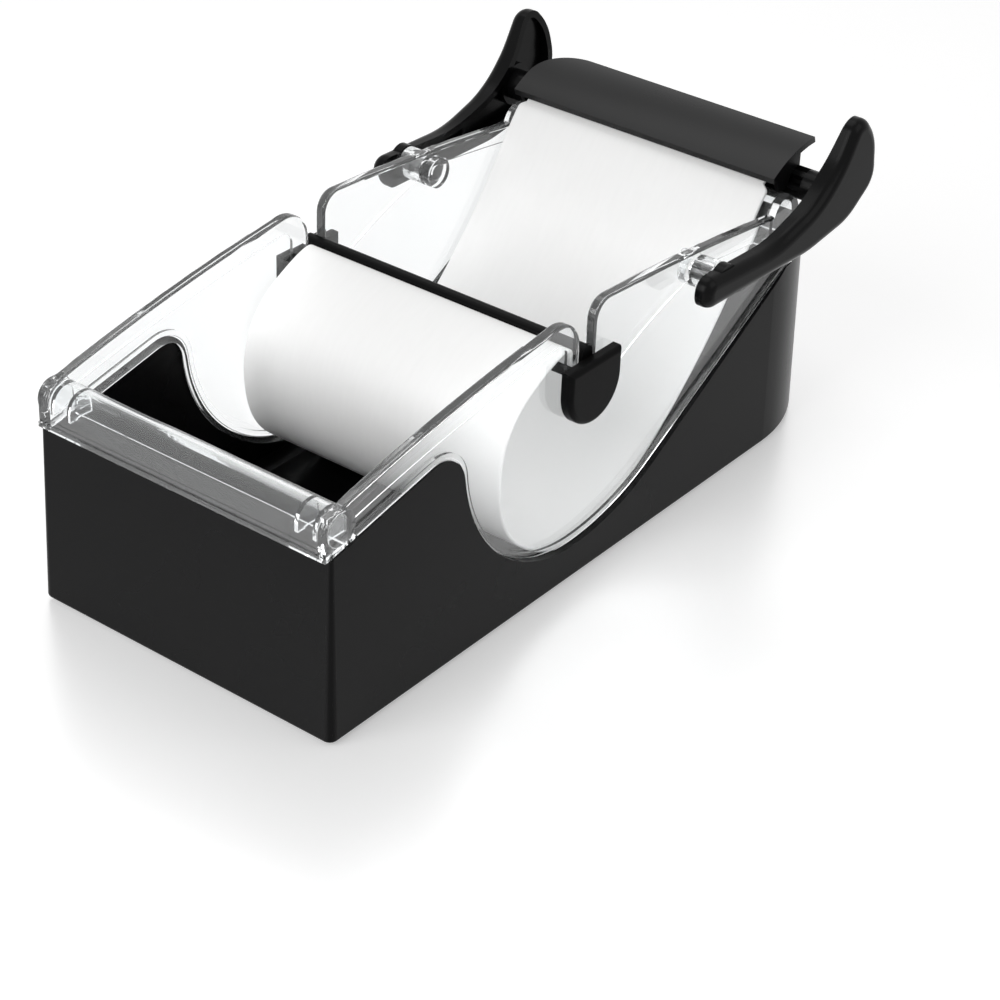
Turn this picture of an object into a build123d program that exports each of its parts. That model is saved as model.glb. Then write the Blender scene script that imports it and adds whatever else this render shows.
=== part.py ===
"""Sushi roller: black tub, clear frame, rolling mat, roll bar and a two-armed lever.

Lengths are millimetres and angles degrees. X runs across the tool, Y from its front to its
round rear, Z up. Side views are drawn as (distance behind the front face, height above the tub's
underside), plan views as (distance from the middle, distance behind the front face).
"""
import os
from math import asin, atan2, cos, degrees, hypot, radians, sin

from build123d import *

# Tub
tub_width = 102.4
tub_flare = 1.4
tub_length = 254.0
front_height = 55.5
rear_rise = 2.0
tub_wall = 2.4
tub_floor = 2.4
tub_corner = 2.6
tub_bottom_round = 1.0
tub_floor_round = 4.0

# Wave along the tub's side walls
trough_at = 103.0
trough_drop = 44.9
trough_front_radius = 50.0
trough_rear_radius = 80.0
hump_radius = 10.5
hump_lean = 6.5
ramp_angle = 29.0

# Rubber feet
foot_diameter = 12.0
foot_thick = 2.0
foot_proud = 1.0
foot_inset = 14.0
foot_clearance = 0.1

# Seat between tub and frame
seat_depth = 1.4
seat_lip = 1.5
seat_clearance = 0.1

# Clear side walls
frame_inset = 0.8
frame_wall = 3.4
panel_recess = 0.9
rim_band = 6.0
brace_drop = 8.0
brace_bow = 2.4
seat_band = 2.0
wing_front_rise = 12.1
wing_crest_rise = 28.9
wing_rear_rise = 18.1
wing_end = 212.0
wing_front_bow = 2.0
wing_rear_bow = 1.6
wing_front_corner = 10.0
wing_rear_corner = 6.0
wing_end_corner = 7.0
rim_round = 0.9

# Slots for the roll bar
slot_at = 106.5
slot_width = 6.4
slot_depth = 22.4

# Front rail and its end lugs
rail_depth = 11.0
rail_proud = 1.0
rail_rise = 12.7
rail_wall = 1.6
rail_crown = 5.2
rail_lip = 1.5
rail_lip_proud = 0.5
web_thick = 1.2
web_inset = 4.5
web_pitch = 6.0
tongue_rise = 6.5
tongue_half = 36.0
tongue_clearance = 0.2
lug_length = 11.0
lug_height = 10.0
lug_proud = 0.5
lug_round = 0.4

# Rear rail
rear_rail_depth = 13.4
rear_rail_rise = 6.1
rear_rail_height = 15.0
rear_rail_crown = 6.5

# Lever pivot
pivot_at = 159.5
pivot_drop = 0.6
pin_diameter = 5.0
pin_clearance = 0.08
pin_end_round = 0.6
boss_diameter = 9.6
boss_outside = 6.2
boss_inside = 2.6
boss_cap = 1.4
boss_gap = 0.6

# Lever arms, outline as shares of reach and rise from the pivot
arm_reach = 74.0
arm_rise = 32.0
arm_thick = 4.8
arm_flare_angle = 1.6
arm_pocket = 2.8
arm_rim = 2.2
arm_edge_round = 3.2
arm_thumb_slope = 7.6
arm_tail = 11.9
arm_above = 4.2
arm_below = 5.4
arm_rib = 1.4
arm_hub_diameter = 10.0
arm_rib_shares = (0.22, 0.38)
arm_corner_shares = (
    (0.534, -0.178),
    (0.811, -0.075),
    (0.993, 0.234),
    (0.964, 0.706),
    (0.838, 1.035),
    (0.718, 0.575),
    (0.588, 0.272),
    (0.304, 0.088),
)
arm_bends = (45.0, 20.0, 9.0, 16.0, 5.5, 30.0, 32.0, 45.0)
arm_tail_round = 4.4

# Lever shaft
shaft_reach_share = 0.7324
shaft_rise_share = 0.25
shaft_diameter = 9.6
shaft_core = 5.6
shaft_ribs = 6
shaft_rib_thick = 1.8
shaft_collar = 5.4
socket_wall = 2.0
press_clearance = 0.02

# Mat cover, placed from the shaft's centre
cover_front_reach = 13.4
cover_front_rise = 5.3
cover_rear_reach = 7.8
cover_rear_rise = 11.8
cover_bow = 1.6
cover_thick = 2.0
cover_overhang = 2.0
cover_corner = 14.0
cheek_thick = 1.5
cheek_inset = 0.3
cheek_reach = 9.0
cheek_drop = 0.4
cheek_rear = 1.2
cheek_front_share = 0.04
cheek_left_share = 0.42
cheek_right_share = 0.68
hook_share = 0.385
hook_width = 1.4
hook_reach = 2.6

# Roll bar and its end caps
bar_thick = 5.0
bar_height = 10.2
bar_gap = 0.2
bar_crown = 2.0
bar_slit_rise = 4.0
cap_width = 23.5
cap_drop = 3.2
cap_height = 19.2
cap_thick = 3.6
cap_gap = 0.35
cap_round = 1.5
bar_tenon = 2.2

# Rolling mat
mat_side_gap = 1.0
mat_thick = 1.3
mat_slit_clearance = 0.15
mat_end_gap = 0.1
rod_diameter = 2.4
rod_clearance = 0.1
rear_rod_diameter = 2.8
rear_rod_reach = 8.1
rear_rod_angle = 144.6
mat_lip_reach = 13.45
mat_lip_angle = 169.7
mat_end_angle = 197.0
mat_bend_shares = (0.07, 0.15, 0.19, 0.32, 0.32, 0.42, 0.75, 0.75, 0.05)
mat_corner_shares = (
    (-0.03, 1.0),
    (-0.304, 0.876),
    (-0.304, 0.408),
    (-0.136, 0.159),
    (0.061, 0.088),
    (0.313, 0.258),
    (0.547, 0.573),
    (0.735, 0.922),
)

# Places that follow from the sizes
overall_front = rail_proud + rail_lip_proud
front_y = (overall_front - tub_length) / 2
half_tub = tub_width / 2
half_frame = half_tub - frame_inset
rear_height = front_height + rear_rise
trough_height = front_height - trough_drop
rail_height = front_height + rail_rise
tongue_height = front_height + tongue_rise
wing_front_height = front_height + wing_front_rise
wing_crest_height = front_height + wing_crest_rise
wing_rear_height = rear_height + wing_rear_rise
slot_floor = wing_crest_height - slot_depth
pivot_height = wing_rear_height - pivot_drop
half_foot = half_tub + tub_flare
tub_taper = degrees(atan2(tub_flare, front_height))
rear_centre = tub_length - half_foot
crest_top = rail_height + wing_crest_height
side = Plane(origin=(0, front_y, foot_proud), x_dir=(0, 1, 0), z_dir=(1, 0, 0))
plan = Plane(origin=(0, front_y, foot_proud), x_dir=(1, 0, 0), z_dir=(0, 0, 1))
inner_frame = half_frame - frame_wall
boss_end = half_frame + boss_outside
boss_start = inner_frame - boss_inside
pin_start = boss_start + boss_cap
arm_inner = boss_end + boss_gap
mat_half = inner_frame - mat_side_gap
cover_half = mat_half + cover_overhang
shaft_at = pivot_at + shaft_reach_share * arm_reach
shaft_height = pivot_height + shaft_rise_share * arm_rise
bar_floor = slot_floor + bar_gap
bar_top = bar_floor + bar_height
bar_slit_height = bar_floor + bar_slit_rise
cap_top = bar_top - cap_drop
cap_bottom = cap_top - cap_height
bar_end = half_frame + cap_gap + bar_tenon
slot_front = slot_at - slot_width / 2
slot_rear = slot_at + slot_width / 2


def around(centre, radius, angle):
    """Point at an angle on a circle in the side view."""
    return (centre[0] + radius * cos(radians(angle)), centre[1] + radius * sin(radians(angle)))


hump_reach = trough_front_radius + hump_radius
trough_front_centre = (trough_at, trough_height + trough_front_radius)
trough_rear_centre = (trough_at, trough_height + trough_rear_radius)
hump_centre = around(trough_front_centre, hump_reach, 180 + hump_lean)
front_rise = hump_centre[1] - front_height
front_slope = degrees(
    atan2(front_rise, hump_centre[0]) + asin(hump_radius / hypot(hump_centre[0], front_rise))
)
ramp_start = around(trough_rear_centre, trough_rear_radius, ramp_angle - 90)
ramp_rise = rear_height - ramp_start[1]
ramp_end = ramp_start[0] + ramp_rise / sin(radians(ramp_angle)) * cos(radians(ramp_angle))


def wave(rise):
    """Wave of the side wall from front to rear, moved square to itself by rise; gives its ends."""
    start = around((0, front_height), rise, 90 + front_slope)
    crest = around(hump_centre, hump_radius + rise, 90 + front_slope)
    crest_middle = around(hump_centre, hump_radius + rise, (90 + front_slope + hump_lean) / 2)
    dip = around(hump_centre, hump_radius + rise, hump_lean)
    dip_middle = around(trough_front_centre, trough_front_radius - rise, (450 + hump_lean) / 2)
    bottom = (trough_at, trough_height + rise)
    climb_middle = around(trough_rear_centre, trough_rear_radius - rise, ramp_angle / 2 - 90)
    climb = around(trough_rear_centre, trough_rear_radius - rise, ramp_angle - 90)
    finish = around((ramp_end, rear_height), rise, 90 + ramp_angle)
    Line(start, crest)
    ThreePointArc(crest, crest_middle, dip)
    ThreePointArc(dip, dip_middle, bottom)
    ThreePointArc(bottom, climb_middle, climb)
    Line(climb, finish)
    return start, finish


def tub_plan(inset):
    """Plan of the tub at its foot, straight sides with a round rear, drawn inset from the outer face."""
    half = half_foot - inset
    front = inset - tub_flare
    with BuildLine() as outline:
        Line((-half, front), (half, front))
        Line((half, front), (half, rear_centre))
        ThreePointArc((half, rear_centre), (0, rear_centre + half), (-half, rear_centre))
        Line((-half, rear_centre), (-half, front))
    return outline.edges()


# Tub
tub_top = hump_centre[1] + hump_radius
tub_inside = half_tub - tub_wall
foot_spots = [
    (across * (half_tub - foot_inset), along)
    for across in (-1, 1)
    for along in (foot_inset, rear_centre)
]
with BuildPart() as base_tub:
    with BuildSketch(plan):
        outer = make_face(tub_plan(0))
        fillet(outer.vertices().group_by(Axis.Y)[0], tub_corner)
    extrude(amount=tub_top, taper=tub_taper)
    fillet(base_tub.faces().sort_by(Axis.Z)[0].edges(), tub_bottom_round)
    with BuildSketch(plan.offset(tub_floor)):
        inner = make_face(tub_plan(tub_wall))
        fillet(inner.vertices().group_by(Axis.Y)[0], tub_corner)
    extrude(amount=tub_top, taper=tub_taper, mode=Mode.SUBTRACT)
    fillet(base_tub.faces().filter_by(Axis.Z).group_by(Axis.Z)[1].edges(), tub_floor_round)
    with BuildSketch(side):
        with BuildLine():
            start, finish = wave(0)
            Polyline(
                finish,
                (tub_length + tub_wall, rear_height),
                (tub_length + tub_wall, tub_top + tub_wall),
                (-tub_wall, tub_top + tub_wall),
                (-tub_wall, front_height),
                start,
            )
        make_face()
    extrude(amount=tub_width, both=True, mode=Mode.SUBTRACT)
    with BuildSketch(side):
        with BuildLine():
            upper = wave(tub_wall)
            lower = wave(-seat_depth)
            Line(upper[0], lower[0])
            Line(upper[1], lower[1])
        make_face()
        with Locations((rail_depth, 0)):
            Rectangle(
                ramp_end - rail_depth, crest_top, align=(Align.MIN, Align.MIN), mode=Mode.INTERSECT
            )
    extrude(amount=tub_inside + seat_lip, both=True, mode=Mode.SUBTRACT)
    with BuildSketch(side):
        with Locations((tub_wall, front_height - tub_wall)):
            Rectangle(
                tub_wall - rail_wall + rail_proud - tongue_clearance,
                tongue_height - front_height + tub_wall,
                align=(Align.MAX, Align.MIN),
            )
    extrude(amount=tongue_half, both=True)
    with BuildSketch(plan):
        with Locations(*foot_spots):
            Circle(foot_diameter / 2 + foot_clearance)
    extrude(amount=foot_thick - foot_proud, mode=Mode.SUBTRACT)

# Rubber feet
foot_names = ("front_left", "rear_left", "front_right", "rear_right")
feet = {}
for foot_name, spot in zip(foot_names, foot_spots):
    with BuildPart() as foot_pad:
        with BuildSketch(plan.offset(-foot_proud)):
            with Locations(spot):
                Circle(foot_diameter / 2)
        extrude(amount=foot_thick)
    feet["foot_pad_" + foot_name] = foot_pad.part


def wing_outline(bottom):
    """Side wall from the front rail to the rear end, with its slot; bottom draws the lower edge."""
    with BuildLine() as outline:
        start, finish = bottom()
        Line(start, front_top)
        SagittaArc(front_top, crest_front, wing_front_bow)
        Polyline(crest_front, (slot_front, slot_floor), (slot_rear, slot_floor), crest_rear)
        SagittaArc(crest_rear, rear_top, wing_rear_bow)
        Polyline(rear_top, (wing_end, finish[1]), finish)
    return outline.edges()


def wave_bottom():
    """Lower edge of the wall where it stands on the tub's wave."""
    return wave(0)


def deep_bottom():
    """Straight lower edge far below, so that only the upper edges set the rim band."""
    start = (0, -wing_crest_height)
    finish = (ramp_end, -wing_crest_height)
    Line(start, finish)
    return start, finish


def draw_wing(sketch, bottom):
    """Draw the side wall in a sketch, with its tips rounded beside the slot and at the rear end."""
    make_face(wing_outline(bottom))
    fillet(sketch.vertices().sort_by_distance(crest_front)[0], wing_front_corner)
    fillet(sketch.vertices().sort_by_distance(crest_rear)[0], wing_rear_corner)
    fillet(sketch.vertices().sort_by_distance(rear_top)[0], wing_end_corner)


# Clear frame
front_top = (0, wing_front_height)
crest_front = (slot_front, wing_crest_height)
crest_rear = (slot_rear, wing_crest_height)
rear_top = (wing_end, wing_rear_height)
brace_foot = (slot_rear, slot_floor - brace_drop)
seat_outer = tub_inside + seat_lip - seat_clearance
rear_rail_top = wing_rear_height + rear_rail_rise
web_floor = front_height + web_inset
web_spots = [half_frame - web_inset - web_pitch * step for step in range(2)]
with BuildSketch() as wave_band:
    draw_wing(wave_band, wave_bottom)
    offset(amount=-seat_band, mode=Mode.REPLACE)

with BuildPart() as clear_frame:
    with BuildSketch(side.offset(inner_frame)) as wall:
        draw_wing(wall, wave_bottom)
    extrude(amount=frame_wall)
    fillet(clear_frame.faces().filter_by(Axis.X).edges(), rim_round)
    with BuildSketch(side.offset(half_frame)) as panel:
        draw_wing(panel, deep_bottom)
        offset(amount=-rim_band, mode=Mode.REPLACE)
        add(wave_band.sketch, mode=Mode.INTERSECT)
        with BuildLine():
            SagittaArc(brace_foot, (pivot_at, pivot_height), brace_bow)
            Polyline((pivot_at, pivot_height), (pivot_at, wing_crest_height), crest_rear, brace_foot)
        make_face(mode=Mode.SUBTRACT)
    extrude(amount=-panel_recess, mode=Mode.SUBTRACT)
    with BuildSketch(side.offset(inner_frame)):
        with BuildLine():
            upper = wave(seat_band)
            lower = wave(seat_clearance - seat_depth)
            Line(upper[0], lower[0])
            Line(upper[1], lower[1])
        make_face()
        with Locations((rail_depth + seat_clearance, 0)):
            Rectangle(
                ramp_end - rail_depth - 2 * seat_clearance,
                crest_top,
                align=(Align.MIN, Align.MIN),
                mode=Mode.INTERSECT,
            )
    extrude(amount=seat_outer - inner_frame)
    with BuildSketch(side.offset(inner_frame)):
        with Locations((lug_length / 2 - rail_proud, rail_height - lug_height / 2)):
            SlotOverall(lug_length, lug_height)
    extrude(amount=frame_wall + lug_proud)
    fillet(clear_frame.faces().sort_by(Axis.X)[-1].edges(), lug_round)
    with BuildSketch(side.offset(boss_start)):
        with Locations((pivot_at, pivot_height)):
            Circle(boss_diameter / 2)
    extrude(amount=boss_end - boss_start)
    mirror(about=Plane.YZ)
    with BuildSketch(side) as rail:
        with Locations((-rail_proud, front_height)):
            Rectangle(rail_depth, rail_height - front_height, align=(Align.MIN, Align.MIN))
        fillet(rail.vertices().group_by(Axis.Y)[-1], rail_crown)
        with Locations((-overall_front, front_height)):
            Rectangle(rail_lip, rail_lip, align=(Align.MIN, Align.MIN))
    extrude(amount=half_frame, both=True)
    with BuildSketch(side) as channel:
        with Locations((rail_wall - rail_proud, front_height)):
            Rectangle(
                rail_depth - 2 * rail_wall,
                rail_height - front_height - rail_wall,
                align=(Align.MIN, Align.MIN),
            )
        fillet(channel.vertices().group_by(Axis.Y)[-1], rail_crown - rail_wall)
    extrude(amount=inner_frame, both=True, mode=Mode.SUBTRACT)
    for spot in web_spots + [-spot for spot in web_spots]:
        with BuildSketch(side.offset(spot)) as web:
            with Locations((rail_wall / 2 - rail_proud, web_floor)):
                Rectangle(
                    rail_depth - rail_wall,
                    rail_height - rail_wall / 2 - web_floor,
                    align=(Align.MIN, Align.MIN),
                )
            fillet(web.vertices().group_by(Axis.Y)[-1], rail_crown - rail_wall / 2)
        extrude(amount=web_thick / 2, both=True)
    with BuildSketch(side) as rear_rail:
        with Locations((wing_end, rear_rail_top)):
            Rectangle(rear_rail_depth, rear_rail_height, align=(Align.MAX, Align.MAX))
        fillet(rear_rail.vertices().group_by(Axis.Y)[-1], rear_rail_crown)
    extrude(amount=half_frame, both=True)
    with BuildSketch(side) as rear_channel:
        with Locations((wing_end - rail_wall, rear_rail_top - rail_wall)):
            Rectangle(
                rear_rail_depth - 2 * rail_wall, rear_rail_height, align=(Align.MAX, Align.MAX)
            )
        fillet(rear_channel.vertices().group_by(Axis.Y)[-1], rear_rail_crown - rail_wall)
    extrude(amount=inner_frame, both=True, mode=Mode.SUBTRACT)
    for across in (-1, 1):
        with BuildSketch(side.offset(across * inner_frame)):
            with BuildLine():
                start, finish = wave(0)
                Polyline(finish, (finish[0], -tub_wall), (start[0], -tub_wall), start)
            make_face()
            with Locations((0, front_height - seat_band)):
                Rectangle(lug_length, lug_height, align=(Align.MIN, Align.MIN), mode=Mode.INTERSECT)
        extrude(amount=across * tub_width, mode=Mode.SUBTRACT)
    with BuildSketch(side):
        with BuildLine():
            start, finish = wave(0)
            Polyline(finish, (finish[0], -tub_wall), (start[0], -tub_wall), start)
        make_face()
        with Locations((0, front_height - seat_band)):
            Rectangle(
                tub_wall + seat_clearance, lug_height, align=(Align.MIN, Align.MIN), mode=Mode.INTERSECT
            )
    extrude(amount=tub_width, both=True, mode=Mode.SUBTRACT)
    for across in (-1, 1):
        with BuildSketch(side.offset(across * pin_start)):
            with Locations((pivot_at, pivot_height)):
                Circle(pin_diameter / 2 + pin_clearance)
        extrude(amount=across * tub_width, mode=Mode.SUBTRACT)

# Lever arms
arm_corners = [
    (pivot_at + reach * arm_reach, pivot_height + rise * arm_rise) for reach, rise in arm_corner_shares
]
tail_top = (pivot_at - arm_tail, pivot_height + arm_above)
tail_bottom = (pivot_at - arm_tail, pivot_height - arm_below)
outer_face = Plane(
    origin=(arm_inner + arm_thick, front_y + tail_top[0], foot_proud + pivot_height),
    z_dir=(cos(radians(arm_flare_angle)), -sin(radians(arm_flare_angle)), 0),
)
thumb_face = Plane(
    origin=(arm_inner, front_y + shaft_at, foot_proud + shaft_height + shaft_diameter / 2 + socket_wall),
    z_dir=(-cos(radians(arm_thumb_slope)), 0, sin(radians(arm_thumb_slope))),
)


def arm_outline():
    """Side view of an arm: straight shank round the pivot, then the upturned thumb paddle."""
    bends = (*arm_bends, arm_tail_round, arm_tail_round)
    with BuildLine() as outline:
        FilletPolyline(*arm_corners, tail_top, tail_bottom, radius=bends, close=True)
    return outline.edges()


with BuildPart() as lever_arm_right:
    with BuildSketch(side.offset(arm_inner)):
        make_face(arm_outline())
    extrude(amount=2 * arm_thick)
    split(bisect_by=outer_face, keep=Keep.BOTTOM)
    fillet(lever_arm_right.faces().sort_by(Axis.X)[-1].edges(), arm_edge_round)
    with BuildSketch(side.offset(arm_inner)):
        make_face(arm_outline())
        offset(amount=-arm_rim, mode=Mode.REPLACE)
        with Locations((pivot_at, pivot_height)):
            Circle(arm_hub_diameter / 2, mode=Mode.SUBTRACT)
        with Locations((shaft_at, shaft_height)):
            Circle(shaft_diameter / 2 + socket_wall, mode=Mode.SUBTRACT)
        for share in arm_rib_shares:
            with Locations((pivot_at + share * arm_reach, pivot_height)):
                Rectangle(arm_rib, 2 * (arm_above + arm_below), mode=Mode.SUBTRACT)
    extrude(amount=arm_pocket, mode=Mode.SUBTRACT)
    with BuildSketch(side.offset(arm_inner)):
        with Locations((pivot_at, pivot_height)):
            Circle(arm_hub_diameter / 2)
    extrude(amount=arm_pocket)
    with BuildSketch(side.offset(arm_inner)):
        with Locations((pivot_at, pivot_height)):
            Circle(pin_diameter / 2 + press_clearance)
        with Locations((shaft_at, shaft_height)):
            Circle(shaft_diameter / 2 + press_clearance)
    extrude(amount=arm_pocket, mode=Mode.SUBTRACT)
    split(bisect_by=thumb_face, keep=Keep.BOTTOM)

with BuildPart() as lever_arm_left:
    mirror(lever_arm_right.part, about=Plane.YZ)

# Pivot pins
socket_end = arm_inner + arm_pocket - press_clearance
with BuildPart() as pivot_pin_right:
    with BuildSketch(side.offset(pin_start + pin_clearance)):
        with Locations((pivot_at, pivot_height)):
            Circle(pin_diameter / 2)
    extrude(amount=socket_end - pin_start - pin_clearance)
    fillet(pivot_pin_right.faces().sort_by(Axis.X)[0].edges(), pin_end_round)

with BuildPart() as pivot_pin_left:
    mirror(pivot_pin_right.part, about=Plane.YZ)

# Lever shaft
collar_start = arm_inner - shaft_collar
shaft_plane = Plane(
    origin=(0, front_y + shaft_at, foot_proud + shaft_height), x_dir=(0, 1, 0), z_dir=(1, 0, 0)
)
with BuildPart() as lever_shaft:
    with BuildSketch(shaft_plane):
        for step in range(shaft_ribs // 2):
            Rectangle(shaft_diameter, shaft_rib_thick, rotation=360 / shaft_ribs * step)
        Circle(shaft_core / 2)
        Circle(shaft_diameter / 2, mode=Mode.INTERSECT)
    extrude(amount=socket_end, both=True)
    for across in (-1, 1):
        with BuildSketch(shaft_plane.offset(across * collar_start)):
            Circle(shaft_diameter / 2)
        extrude(amount=across * (socket_end - collar_start))

# Mat cover
cover_front = Vector(-cover_front_reach, cover_front_rise)
cover_rear = Vector(cover_rear_reach, cover_rear_rise)
cover_chord = cover_rear - cover_front
cover_slope = degrees(atan2(cover_chord.Y, cover_chord.X))
cover_under = Vector(sin(radians(cover_slope)), -cos(radians(cover_slope))) * cover_thick
hook_top = cover_bow - cover_thick / 2
hook_bottom = cover_bow - cover_thick - hook_reach
hook_drop = -(hook_top + hook_bottom) / 2
hook_middle = cover_front + cover_chord * hook_share + cover_under * (hook_drop / cover_thick)
cheek_foot = [(-cheek_reach, -cheek_drop), (cheek_rear, -cheek_drop)]
with BuildPart() as mat_cover:
    with BuildSketch(shaft_plane):
        with BuildLine():
            SagittaArc(cover_front, cover_rear, cover_bow)
            SagittaArc(cover_front + cover_under, cover_rear + cover_under, cover_bow)
            Line(cover_front, cover_front + cover_under)
            Line(cover_rear, cover_rear + cover_under)
        make_face()
    extrude(amount=cover_half, both=True)
    fillet(mat_cover.edges().group_by(Axis.X)[0].sort_by(Axis.Y)[-1:], cover_corner)
    with BuildSketch(shaft_plane):
        with Locations(hook_middle):
            Rectangle(hook_width, hook_top - hook_bottom, rotation=cover_slope)
    extrude(amount=mat_half, both=True)
    for across, rear_share in ((-1, cheek_left_share), (1, cheek_right_share)):
        cheek_top = [cover_front + cover_chord * share for share in (rear_share, cheek_front_share)]
        with BuildSketch(shaft_plane.offset(across * (cover_half - cheek_inset))):
            with BuildLine():
                Polyline(*cheek_foot, *cheek_top, close=True)
            make_face()
            Circle(shaft_diameter / 2 + press_clearance, mode=Mode.SUBTRACT)
        extrude(amount=-across * cheek_thick)

# Roll bar
tenon_top = cap_top - bar_tenon
bar_plane = Plane(origin=(0, front_y + slot_at, foot_proud), x_dir=(0, 1, 0), z_dir=(1, 0, 0))
with BuildPart() as roll_bar:
    with BuildSketch(bar_plane) as bar_section:
        with Locations((0, bar_floor)):
            Rectangle(bar_thick, bar_height, align=(Align.CENTER, Align.MIN))
        fillet(bar_section.vertices().group_by(Axis.Y)[-1], bar_crown)
    extrude(amount=half_frame, both=True)
    with BuildSketch(bar_plane):
        with Locations((0, bar_floor)):
            Rectangle(bar_thick, tenon_top - bar_floor, align=(Align.CENTER, Align.MIN))
    extrude(amount=bar_end, both=True)
    with BuildSketch(bar_plane):
        with Locations((0, bar_slit_height)):
            Circle(rod_diameter / 2 + rod_clearance)
            Rectangle(bar_thick, mat_thick + 2 * mat_slit_clearance, align=(Align.MAX, Align.CENTER))
    extrude(amount=mat_half + cap_gap, both=True, mode=Mode.SUBTRACT)

# Bar end caps
cap_inner = half_frame + cap_gap
with BuildPart() as bar_cap_right:
    with BuildSketch(bar_plane.offset(cap_inner)):
        with Locations((0, cap_bottom + cap_width / 2)):
            Circle(cap_width / 2)
            Rectangle(
                cap_width, cap_top - cap_bottom - cap_width / 2, align=(Align.CENTER, Align.MIN)
            )
        with Locations((0, cap_top)):
            Rectangle(cap_width, cap_width, align=(Align.CENTER, Align.MIN), mode=Mode.SUBTRACT)
    extrude(amount=cap_thick)
    fillet(bar_cap_right.faces().sort_by(Axis.X)[-1].edges(), cap_round)
    with BuildSketch(bar_plane.offset(cap_inner)):
        with Locations((0, bar_floor - press_clearance)):
            Rectangle(
                bar_thick + 2 * press_clearance,
                tenon_top - bar_floor + 2 * press_clearance,
                align=(Align.CENTER, Align.MIN),
            )
    extrude(amount=bar_tenon + press_clearance, mode=Mode.SUBTRACT)

with BuildPart() as bar_cap_left:
    mirror(bar_cap_right.part, about=Plane.YZ)

# Rods in the mat's ends
rear_rod_at = around((shaft_at, shaft_height), rear_rod_reach, rear_rod_angle)
with BuildPart() as mat_rod_front:
    with BuildSketch(side):
        with Locations((slot_at, bar_slit_height)):
            Circle(rod_diameter / 2)
    extrude(amount=mat_half, both=True)

with BuildPart() as mat_rod_rear:
    with BuildSketch(side):
        with Locations(rear_rod_at):
            Circle(rear_rod_diameter / 2)
    extrude(amount=mat_half, both=True)

# Rolling mat
mat_span = shaft_at - slot_at
mat_start = (slot_at - rod_diameter / 2 - mat_end_gap, bar_slit_height)
mat_corners = [
    (slot_at + along * mat_span, height * bar_slit_height) for along, height in mat_corner_shares
]
mat_bends = [share * mat_span for share in mat_bend_shares]
mat_lip = around((shaft_at, shaft_height), mat_lip_reach, mat_lip_angle)
mat_finish = around(rear_rod_at, rear_rod_diameter / 2 + mat_end_gap, mat_end_angle)
with BuildPart() as rolling_mat:
    with BuildSketch(side):
        with BuildLine():
            FilletPolyline(mat_start, *mat_corners, mat_lip, mat_finish, radius=mat_bends)
        trace(line_width=mat_thick)
    extrude(amount=mat_half, both=True)

nodes = {
    "base_tub": base_tub.part,
    "clear_frame": clear_frame.part,
    "lever_arm_left": lever_arm_left.part,
    "lever_arm_right": lever_arm_right.part,
    "pivot_pin_left": pivot_pin_left.part,
    "pivot_pin_right": pivot_pin_right.part,
    "lever_shaft": lever_shaft.part,
    "mat_cover": mat_cover.part,
    "roll_bar": roll_bar.part,
    "bar_cap_left": bar_cap_left.part,
    "bar_cap_right": bar_cap_right.part,
    "mat_rod_front": mat_rod_front.part,
    "mat_rod_rear": mat_rod_rear.part,
    "rolling_mat": rolling_mat.part,
    **feet,
}
os.makedirs("parts", exist_ok=True)
for node, solid in nodes.items():
    solid.label = node
    export_step(solid, "parts/" + node + ".step")
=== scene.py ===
from math import cos, radians, sin

import bmesh
import bpy
from mathutils import Matrix, Vector


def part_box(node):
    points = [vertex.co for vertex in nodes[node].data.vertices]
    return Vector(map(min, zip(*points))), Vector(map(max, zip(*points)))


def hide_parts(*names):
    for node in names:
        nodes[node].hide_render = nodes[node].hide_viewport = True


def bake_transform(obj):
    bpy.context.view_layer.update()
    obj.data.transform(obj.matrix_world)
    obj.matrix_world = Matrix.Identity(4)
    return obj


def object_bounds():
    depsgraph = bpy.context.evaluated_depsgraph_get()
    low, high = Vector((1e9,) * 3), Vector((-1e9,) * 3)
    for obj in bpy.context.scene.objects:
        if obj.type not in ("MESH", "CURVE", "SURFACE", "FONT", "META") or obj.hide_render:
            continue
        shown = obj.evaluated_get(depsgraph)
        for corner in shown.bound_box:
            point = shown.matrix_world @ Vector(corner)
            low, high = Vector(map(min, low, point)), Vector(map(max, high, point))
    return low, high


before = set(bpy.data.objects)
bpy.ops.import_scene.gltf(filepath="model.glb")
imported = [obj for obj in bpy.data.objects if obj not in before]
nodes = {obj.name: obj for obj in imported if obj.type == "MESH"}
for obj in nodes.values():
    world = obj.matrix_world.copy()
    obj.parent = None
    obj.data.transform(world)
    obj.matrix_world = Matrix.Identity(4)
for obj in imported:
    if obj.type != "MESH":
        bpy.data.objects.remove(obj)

cad_low, cad_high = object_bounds()


# Tub: one open box of black plastic with straight sides and a round rear. It is injection moulded,
# so its faces have a faint satin grain, and handling leaves slightly duller patches.
def noise_on(tree, place, scale, detail):
    """A noise over the given coordinates."""
    noise = tree.nodes.new("ShaderNodeTexNoise")
    noise.inputs["Scale"].default_value = scale
    noise.inputs["Detail"].default_value = detail
    tree.links.new(place, noise.inputs["Vector"])
    return noise.outputs["Fac"]


def mottle(tree, noise, tints, roughnesses):
    """Let a noise take a finish from one colour and roughness to another."""
    shader = tree.nodes["Principled BSDF"]
    tint = tree.nodes.new("ShaderNodeValToRGB")
    for end, colour in zip(tint.color_ramp.elements, tints):
        end.color = (*colour, 1.0)
    tree.links.new(noise, tint.inputs["Fac"])
    tree.links.new(tint.outputs["Color"], shader.inputs["Base Color"])
    gloss = tree.nodes.new("ShaderNodeMapRange")
    gloss.inputs["To Min"].default_value, gloss.inputs["To Max"].default_value = roughnesses
    tree.links.new(noise, gloss.inputs["Value"])
    tree.links.new(gloss.outputs["Result"], shader.inputs["Roughness"])


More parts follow.
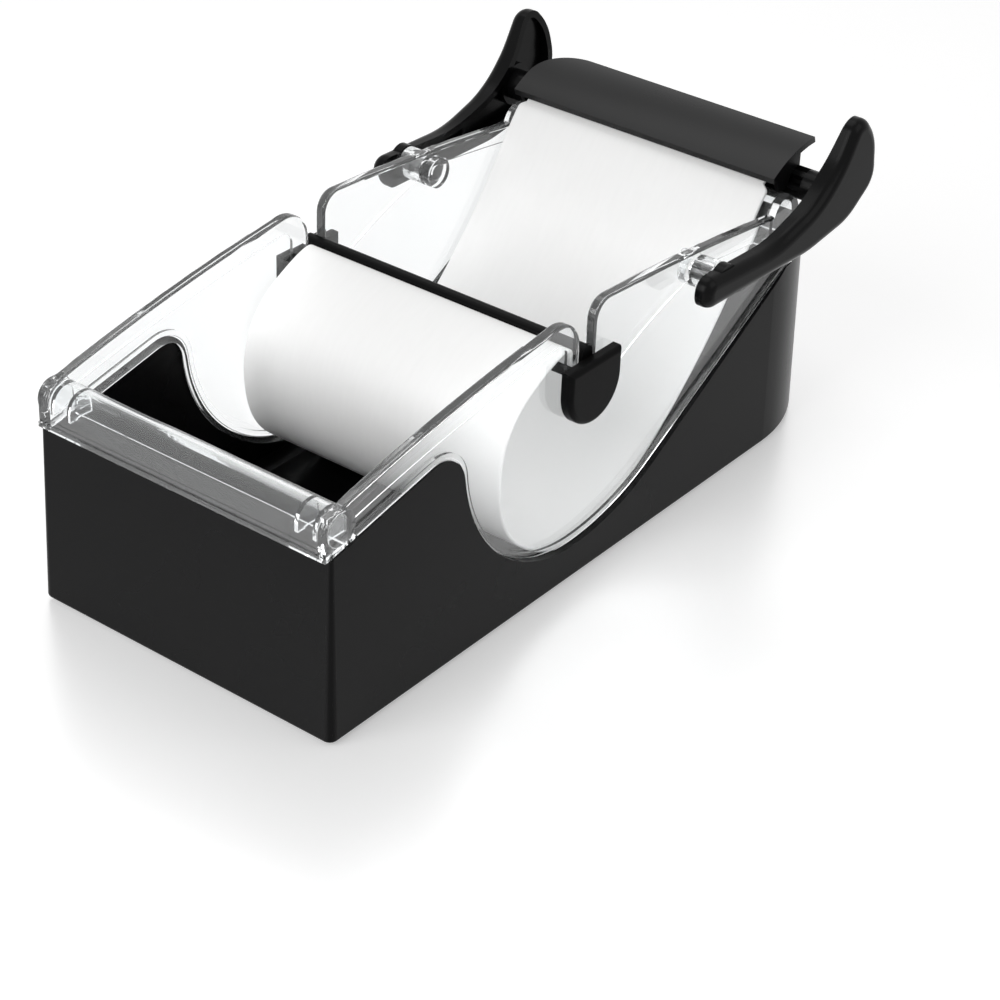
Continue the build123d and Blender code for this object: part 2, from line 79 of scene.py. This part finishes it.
def grain_relief(tree, noise, strength):
    """Let a noise raise a very shallow grain."""
    bump = tree.nodes.new("ShaderNodeBump")
    bump.inputs["Strength"].default_value = strength
    bump.inputs["Distance"].default_value = 0.0002
    tree.links.new(noise, bump.inputs["Height"])
    tree.links.new(bump.outputs["Normal"], tree.nodes["Principled BSDF"].inputs["Normal"])


def moulded_black(name, shade, roughness, specular, grain):
    """Satin black plastic: soft mottled gloss over a very fine mould grain."""
    material = bpy.data.materials.new(name)
    material.use_nodes = True
    tree = material.node_tree
    shader = tree.nodes["Principled BSDF"]
    shader.inputs["Specular IOR Level"].default_value = specular
    shader.inputs["IOR"].default_value = plastic_ior
    place = tree.nodes.new("ShaderNodeTexCoord").outputs["Object"]

    darker, paler, cooler = 0.8, 1.2, 0.05
    smoother, duller = 0.85, 1.2
    mottle(
        tree,
        noise_on(tree, place, scale=28.0, detail=3.0),
        tints=[(shade * part, shade * part, shade * (part + cooler)) for part in (darker, paler)],
        roughnesses=(roughness * smoother, roughness * duller),
    )
    grain_relief(tree, noise_on(tree, place, scale=grain, detail=2.0), strength=0.05)
    return material


def finish_node(name, material):
    """Give a CAD node one material all over."""
    mesh = nodes[name].data
    mesh.materials.clear()
    mesh.materials.append(material)


plastic_ior = 1.49
tub_black = moulded_black("tub_black", shade=0.004, roughness=0.26, specular=0.07, grain=2400.0)
finish_node("base_tub", tub_black)


# Feet: four discs of soft rubber pressed into round pockets under the tub.
# They are matt and a little grey, with a coarse dusty grain.
foot_rubber = moulded_black("foot_rubber", shade=0.02, roughness=0.75, specular=0.3, grain=1400.0)
for corner in ("front_left", "front_right", "rear_left", "rear_right"):
    finish_node("foot_pad_" + corner, foot_rubber)


# Frame: a single clear moulding of polished plastic, dropped onto the tub's wave-shaped edge.
# It is almost colourless, with a faint cool tint in its thick edges and the odd flow mark.
frame_clear = bpy.data.materials.new("frame_clear")
frame_clear.use_nodes = True
clear_tree = frame_clear.node_tree
clear_shader = clear_tree.nodes["Principled BSDF"]
clear_shader.inputs["Transmission Weight"].default_value = 0.98
clear_shader.inputs["IOR"].default_value = plastic_ior
clear_place = clear_tree.nodes.new("ShaderNodeTexCoord").outputs["Object"]
mottle(
    clear_tree,
    noise_on(clear_tree, clear_place, scale=35.0, detail=2.0),
    tints=[(0.95, 0.965, 0.97), (0.985, 0.992, 0.995)],
    roughnesses=(0.01, 0.05),
)
# Lamp light goes through the clear walls and leaves no shadow of them.
clear_rays = clear_tree.nodes.new("ShaderNodeLightPath")
unshaded = clear_tree.nodes.new("ShaderNodeBsdfTransparent")
let_through = clear_tree.nodes.new("ShaderNodeMixShader")
clear_output = clear_tree.nodes["Material Output"]
clear_tree.links.new(clear_rays.outputs["Is Shadow Ray"], let_through.inputs["Fac"])
clear_tree.links.new(clear_shader.outputs["BSDF"], let_through.inputs[1])
clear_tree.links.new(unshaded.outputs["BSDF"], let_through.inputs[2])
clear_tree.links.new(let_through.outputs["Shader"], clear_output.inputs["Surface"])
finish_node("clear_frame", frame_clear)


# Roll bar: a black bar with D-shaped end caps, dropped into the frame's slots from above.
# A white rod in its front slit holds the end of the mat.
bar_black = moulded_black("bar_black", shade=0.003, roughness=0.3, specular=0.04, grain=2600.0)
for name in ("roll_bar", "bar_cap_left", "bar_cap_right"):
    finish_node(name, bar_black)


# Mat: a sheet of white flexible plastic, hung in a loop from the roll bar, down through the trough
# and up to the lever. Its front end is hemmed round a rod and turns up out of the bar's slit, and
# its rear end is clamped with a second rod under the cover.
def flexible_white(name):
    """Satin white sheet with a faint calendered grain along its length."""
    material = bpy.data.materials.new(name)
    material.use_nodes = True
    tree = material.node_tree
    tree.nodes["Principled BSDF"].inputs["Specular IOR Level"].default_value = 0.35
    place = tree.nodes.new("ShaderNodeTexCoord")
    drawn_out = tree.nodes.new("ShaderNodeMapping")
    drawn_out.inputs["Scale"].default_value = (900.0, 120.0, 120.0)
    tree.links.new(place.outputs["Object"], drawn_out.inputs["Vector"])
    grain = noise_on(tree, drawn_out.outputs["Vector"], scale=1.0, detail=3.0)
    mottle(
        tree,
        grain,
        tints=[(0.875, 0.875, 0.87), (0.91, 0.91, 0.905)],
        roughnesses=(0.38, 0.5),
    )
    grain_relief(tree, grain, strength=0.03)
    return material


mat_white = flexible_white("mat_white")
rod_white = flexible_white("rod_white")
for name in ("mat_rod_front", "mat_rod_rear"):
    finish_node(name, rod_white)

tub_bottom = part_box("base_tub")[0].z
bar_low, bar_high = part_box("roll_bar")
front_rod_low, front_rod_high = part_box("mat_rod_front")
shaft_low, shaft_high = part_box("lever_shaft")
bar_y = (bar_low.y + bar_high.y) / 2
slit_z = (front_rod_low.z + front_rod_high.z) / 2
shaft_y = (shaft_low.y + shaft_high.y) / 2
shaft_z = (shaft_low.z + shaft_high.z) / 2
mat_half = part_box("rolling_mat")[1].x
mat_thick = 0.0013
mat_span = shaft_y - bar_y
slit_rise = slit_z - tub_bottom

# The route, seen from the side: out of the slit and up along the bar's front, round the loop by
# shares of the span and of the slit's height, then in under the cover by steps from the shaft.
start_depth = 0.0013
hem_gap = 0.001
hem_rise = 0.008
hem_out = bar_low.y - hem_gap
loop_shares = (
    (-0.304, 0.89),
    (-0.304, 0.408),
    (-0.136, 0.159),
    (0.061, 0.088),
    (0.313, 0.258),
    (0.547, 0.573),
    (0.735, 0.922),
)
cover_steps = ((-0.01323, 0.0024), (-0.00804, 0.00425))
route = [(bar_y - start_depth, slit_z), (hem_out, slit_z), (hem_out, slit_z + hem_rise)]
for along, height in loop_shares:
    route.append((bar_y + along * mat_span, tub_bottom + height * slit_rise))
for step_y, step_z in cover_steps:
    route.append((shaft_y + step_y, shaft_z + step_z))

mat_curve = bpy.data.curves.new("mat_route", "CURVE")
mat_curve.dimensions = "3D"
mat_curve.resolution_u = 24
guide = mat_curve.splines.new("NURBS")
guide.points.add(len(route) - 1)
for point, (y, z) in zip(guide.points, route):
    point.co = (0.0, y, z, 1.0)
guide.order_u = 3
guide.use_endpoint_u = True
route_object = bpy.data.objects.new("mat_route", mat_curve)
bpy.context.scene.collection.objects.link(route_object)
bpy.context.view_layer.update()
depsgraph = bpy.context.evaluated_depsgraph_get()
route_mesh = bpy.data.meshes.new_from_object(route_object.evaluated_get(depsgraph))
mat_line = [vertex.co.copy() for vertex in route_mesh.vertices]
bpy.data.objects.remove(route_object)

# The sheet's rule: a flat section with rounded long edges runs along the route, and near the end
# it narrows on two quarter circles to the tongue that goes under the cover.
mat_sheet = bpy.data.node_groups.new("mat_sheet", "GeometryNodeTree")
mat_sheet.interface.new_socket("Route", in_out="INPUT", socket_type="NodeSocketGeometry")
for size in ("Width", "Thickness", "Corner", "Tongue"):
    mat_sheet.interface.new_socket(size, in_out="INPUT", socket_type="NodeSocketFloat")
mat_sheet.interface.new_socket("Sheet", in_out="OUTPUT", socket_type="NodeSocketGeometry")
given = mat_sheet.nodes.new("NodeGroupInput")
made = mat_sheet.nodes.new("NodeGroupOutput")


def sheet_math(operation, first, second):
    """One sum in the sheet's rule; a number is set on its socket and anything else is linked."""
    node = mat_sheet.nodes.new("ShaderNodeMath")
    node.operation = operation
    for socket, value in zip(node.inputs, (first, second)):
        if isinstance(value, float):
            socket.default_value = value
        else:
            mat_sheet.links.new(value, socket)
    return node.outputs["Value"]


reached = mat_sheet.nodes.new("GeometryNodeSplineParameter").outputs["Length"]
whole = mat_sheet.nodes.new("GeometryNodeSplineLength").outputs["Length"]
to_end = sheet_math("SUBTRACT", whole, reached)
to_tongue = sheet_math("SUBTRACT", to_end, given.outputs["Tongue"])
into_corner = mat_sheet.nodes.new("ShaderNodeMapRange")
into_corner.inputs["To Min"].default_value = 1.0
into_corner.inputs["To Max"].default_value = 0.0
mat_sheet.links.new(to_tongue, into_corner.inputs["Value"])
mat_sheet.links.new(given.outputs["Corner"], into_corner.inputs["From Max"])
share = into_corner.outputs["Result"]
share_squared = sheet_math("MULTIPLY", share, share)
arc = sheet_math("SQRT", sheet_math("SUBTRACT", 1.0, share_squared), 0.0)
trimmed = sheet_math("MULTIPLY", sheet_math("SUBTRACT", 1.0, arc), given.outputs["Corner"])
kept = mat_sheet.nodes.new("GeometryNodeCaptureAttribute")
kept.capture_items.new("FLOAT", "Trimmed")
mat_sheet.links.new(given.outputs["Route"], kept.inputs["Geometry"])
mat_sheet.links.new(trimmed, kept.inputs["Trimmed"])

edge_share = 0.49
edge_steps = 3
section = mat_sheet.nodes.new("GeometryNodeCurvePrimitiveQuadrilateral")
mat_sheet.links.new(given.outputs["Width"], section.inputs["Width"])
mat_sheet.links.new(given.outputs["Thickness"], section.inputs["Height"])
edge_radius = sheet_math("MULTIPLY", given.outputs["Thickness"], edge_share)
rounded = mat_sheet.nodes.new("GeometryNodeFilletCurve")
rounded.mode = "POLY"
rounded.inputs["Count"].default_value = edge_steps
mat_sheet.links.new(section.outputs["Curve"], rounded.inputs["Curve"])
mat_sheet.links.new(edge_radius, rounded.inputs["Radius"])
swept = mat_sheet.nodes.new("GeometryNodeCurveToMesh")
swept.inputs["Fill Caps"].default_value = True
mat_sheet.links.new(kept.outputs["Geometry"], swept.inputs["Curve"])
mat_sheet.links.new(rounded.outputs["Curve"], swept.inputs["Profile Curve"])

position = mat_sheet.nodes.new("GeometryNodeInputPosition")
across = mat_sheet.nodes.new("ShaderNodeSeparateXYZ")
mat_sheet.links.new(position.outputs["Position"], across.inputs["Vector"])
inward = sheet_math("MULTIPLY", sheet_math("SIGN", across.outputs["X"], 0.0), -1.0)
shift = mat_sheet.nodes.new("ShaderNodeCombineXYZ")
mat_sheet.links.new(sheet_math("MULTIPLY", inward, kept.outputs["Trimmed"]), shift.inputs["X"])
narrowed = mat_sheet.nodes.new("GeometryNodeSetPosition")
mat_sheet.links.new(swept.outputs["Mesh"], narrowed.inputs["Geometry"])
mat_sheet.links.new(shift.outputs["Vector"], narrowed.inputs["Offset"])
real = mat_sheet.nodes.new("GeometryNodeRealizeInstances")
mat_sheet.links.new(narrowed.outputs["Geometry"], real.inputs["Geometry"])
coated = mat_sheet.nodes.new("GeometryNodeSetMaterial")
coated.inputs["Material"].default_value = mat_white
mat_sheet.links.new(real.outputs["Geometry"], coated.inputs["Geometry"])
mat_sheet.links.new(coated.outputs["Geometry"], made.inputs["Sheet"])


def mat_piece(name, line, corner, tongue):
    """The stretch of the mat along part of its route, as a plain mesh."""
    stretch = bpy.data.curves.new(name + "_route", "CURVE")
    stretch.dimensions = "3D"
    spline = stretch.splines.new("POLY")
    spline.points.add(len(line) - 1)
    for point, place in zip(spline.points, line):
        point.co = (place.x, place.y, place.z, 1.0)
    holder = bpy.data.objects.new(name + "_route", stretch)
    bpy.context.scene.collection.objects.link(holder)
    rule = holder.modifiers.new("mat_sheet", "NODES")
    rule.node_group = mat_sheet
    sizes = {"Width": 2 * mat_half, "Thickness": mat_thick, "Corner": corner, "Tongue": tongue}
    for socket in mat_sheet.interface.items_tree:
        if socket.name in sizes:
            rule[socket.identifier] = sizes[socket.name]
    bpy.context.view_layer.update()
    formed = holder.evaluated_get(bpy.context.evaluated_depsgraph_get())
    mesh = bpy.data.meshes.new_from_object(formed)
    bpy.data.objects.remove(holder)
    mesh.name = name
    outward = bmesh.new()
    outward.from_mesh(mesh)
    bmesh.ops.recalc_face_normals(outward, faces=outward.faces)
    outward.to_mesh(mesh)
    outward.free()
    mesh.materials.clear()
    mesh.materials.append(mat_white)
    piece = bpy.data.objects.new(name, mesh)
    bpy.context.scene.collection.objects.link(piece)
    return piece


# The two stretches meet at the loop's lowest point. The front one runs from the roll bar and the
# rear one up to the lever.
tongue_length = 0.005
tongue_corner = 0.002
lowest = min(range(len(mat_line)), key=lambda index: mat_line[index].z)
front_line = mat_line[: lowest + 1]
rear_line = mat_line[lowest:]
mat_front = mat_piece("mat_front", front_line, corner=0.0, tongue=tongue_length)
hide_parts("rolling_mat")
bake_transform(mat_front)
mat_rear = mat_piece("mat_rear", rear_line, corner=tongue_corner, tongue=tongue_length)
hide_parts("rolling_mat")
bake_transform(mat_rear)


# Lever: two hollow black arms joined by a ribbed shaft, with a curved cover that clamps the mat.
# The arms turn on black pins that sit in blind holes of the frame's clear bosses.
lever_black = moulded_black("lever_black", shade=0.003, roughness=0.22, specular=0.08, grain=2600.0)
lever_parts = ("lever_arm_left", "lever_arm_right", "lever_shaft")
for name in lever_parts + ("pivot_pin_left", "pivot_pin_right"):
    finish_node(name, lever_black)
cover_black = moulded_black("cover_black", shade=0.004, roughness=0.28, specular=0.22, grain=2600.0)
finish_node("mat_cover", cover_black)


# Stage: a white, glossy table in an even white room, three soft boxes in front, above and to the
# right, and a camera at the angle of the photograph.
def shown_rays(tree):
    """1 for rays that show a surface straight, through the clear frame or mirrored, else 0."""
    rays = tree.nodes.new("ShaderNodeLightPath")
    shown = rays.outputs["Is Camera Ray"]
    for kind in ("Is Transmission Ray", "Is Glossy Ray"):
        either = tree.nodes.new("ShaderNodeMath")
        either.operation = "MAXIMUM"
        tree.links.new(shown, either.inputs[0])
        tree.links.new(rays.outputs[kind], either.inputs[1])
        shown = either.outputs["Value"]
    return shown


table_reach = 6.0
table_corners = [
    (side * table_reach, depth * table_reach, 0.0)
    for side, depth in ((-1, -1), (1, -1), (1, 1), (-1, 1))
]
table_mesh = bpy.data.meshes.new("table")
table_mesh.from_pydata(table_corners, [], [(0, 1, 2, 3)])
table = bpy.data.objects.new("table", table_mesh)
bpy.context.scene.collection.objects.link(table)
table_white = bpy.data.materials.new("table_white")
table_white.use_nodes = True
table_tree = table_white.node_tree
table_shader = table_tree.nodes["Principled BSDF"]
table_shader.inputs["Base Color"].default_value = (0.7, 0.7, 0.7, 1.0)
table_shader.inputs["Roughness"].default_value = 0.3
table_shader.inputs["IOR"].default_value = 3.4
table_shader.inputs["Emission Color"].default_value = (1.0, 1.0, 1.0, 1.0)
table_lift = 0.385
lift = table_tree.nodes.new("ShaderNodeMath")
lift.operation = "MULTIPLY"
lift.inputs[1].default_value = table_lift
table_tree.links.new(shown_rays(table_tree), lift.inputs[0])
table_tree.links.new(lift.outputs["Value"], table_shader.inputs["Emission Strength"])
table_mesh.materials.append(table_white)

world = bpy.data.worlds.new("studio")
bpy.context.scene.world = world
world.use_nodes = True
sky_tree = world.node_tree
sky = sky_tree.nodes["Background"]
sky.inputs["Color"].default_value = (1.0, 1.0, 1.0, 1.0)
sky_level = sky_tree.nodes.new("ShaderNodeMapRange")
sky_level.inputs["To Min"].default_value = 0.2
sky_level.inputs["To Max"].default_value = 1.0
sky_tree.links.new(shown_rays(sky_tree), sky_level.inputs["Value"])
sky_tree.links.new(sky_level.outputs["Result"], sky.inputs["Strength"])


def soft_box(name, place, target, size, power):
    """A square area lamp aimed at a point."""
    lamp = bpy.data.lights.new(name, "AREA")
    lamp.size = size
    lamp.energy = power
    holder = bpy.data.objects.new(name, lamp)
    holder.location = place
    aim = Vector(target) - Vector(place)
    holder.rotation_euler = aim.to_track_quat("-Z", "Y").to_euler()
    bpy.context.scene.collection.objects.link(holder)


tool_foot = (0.0, 0.0, 0.0)
tool_middle = (0.0, 0.0, 0.05)
soft_box("soft_box_above", (-0.2, 0.15, 0.9), tool_foot, size=0.6, power=1.8)
soft_box("soft_box_front", (-0.15, -0.95, 0.6), tool_middle, size=0.8, power=8.3)
soft_box("soft_box_right", (0.8, 0.2, 0.8), tool_middle, size=0.8, power=2.6)

azimuth, elevation, roll = radians(36.586), radians(32.286), radians(2.552)
rail_overhang = 0.0015
eye_aside, eye_ahead, eye_above = 0.409157, 0.413468, 0.420808
tub_front = cad_low.y + rail_overhang
eye = Vector((eye_aside, tub_front - eye_ahead, tub_bottom + eye_above))
back = Vector((sin(azimuth) * cos(elevation), -cos(azimuth) * cos(elevation), sin(elevation)))
right = Vector((cos(azimuth), sin(azimuth), 0.0))
up = back.cross(right)
turned_right = right * cos(roll) + up * sin(roll)
turned_up = up * cos(roll) - right * sin(roll)
camera_turn = Matrix((turned_right, turned_up, back)).transposed()
lens = bpy.data.cameras.new("photo_camera")
lens.sensor_width = 36.0
lens.lens = 95.63
lens.clip_start = 0.01
camera = bpy.data.objects.new("photo_camera", lens)
camera.matrix_world = Matrix.Translation(eye) @ camera_turn.to_4x4()
bpy.context.scene.collection.objects.link(camera)
bpy.context.scene.camera = camera
bpy.context.scene.view_settings.view_transform = "Standard"
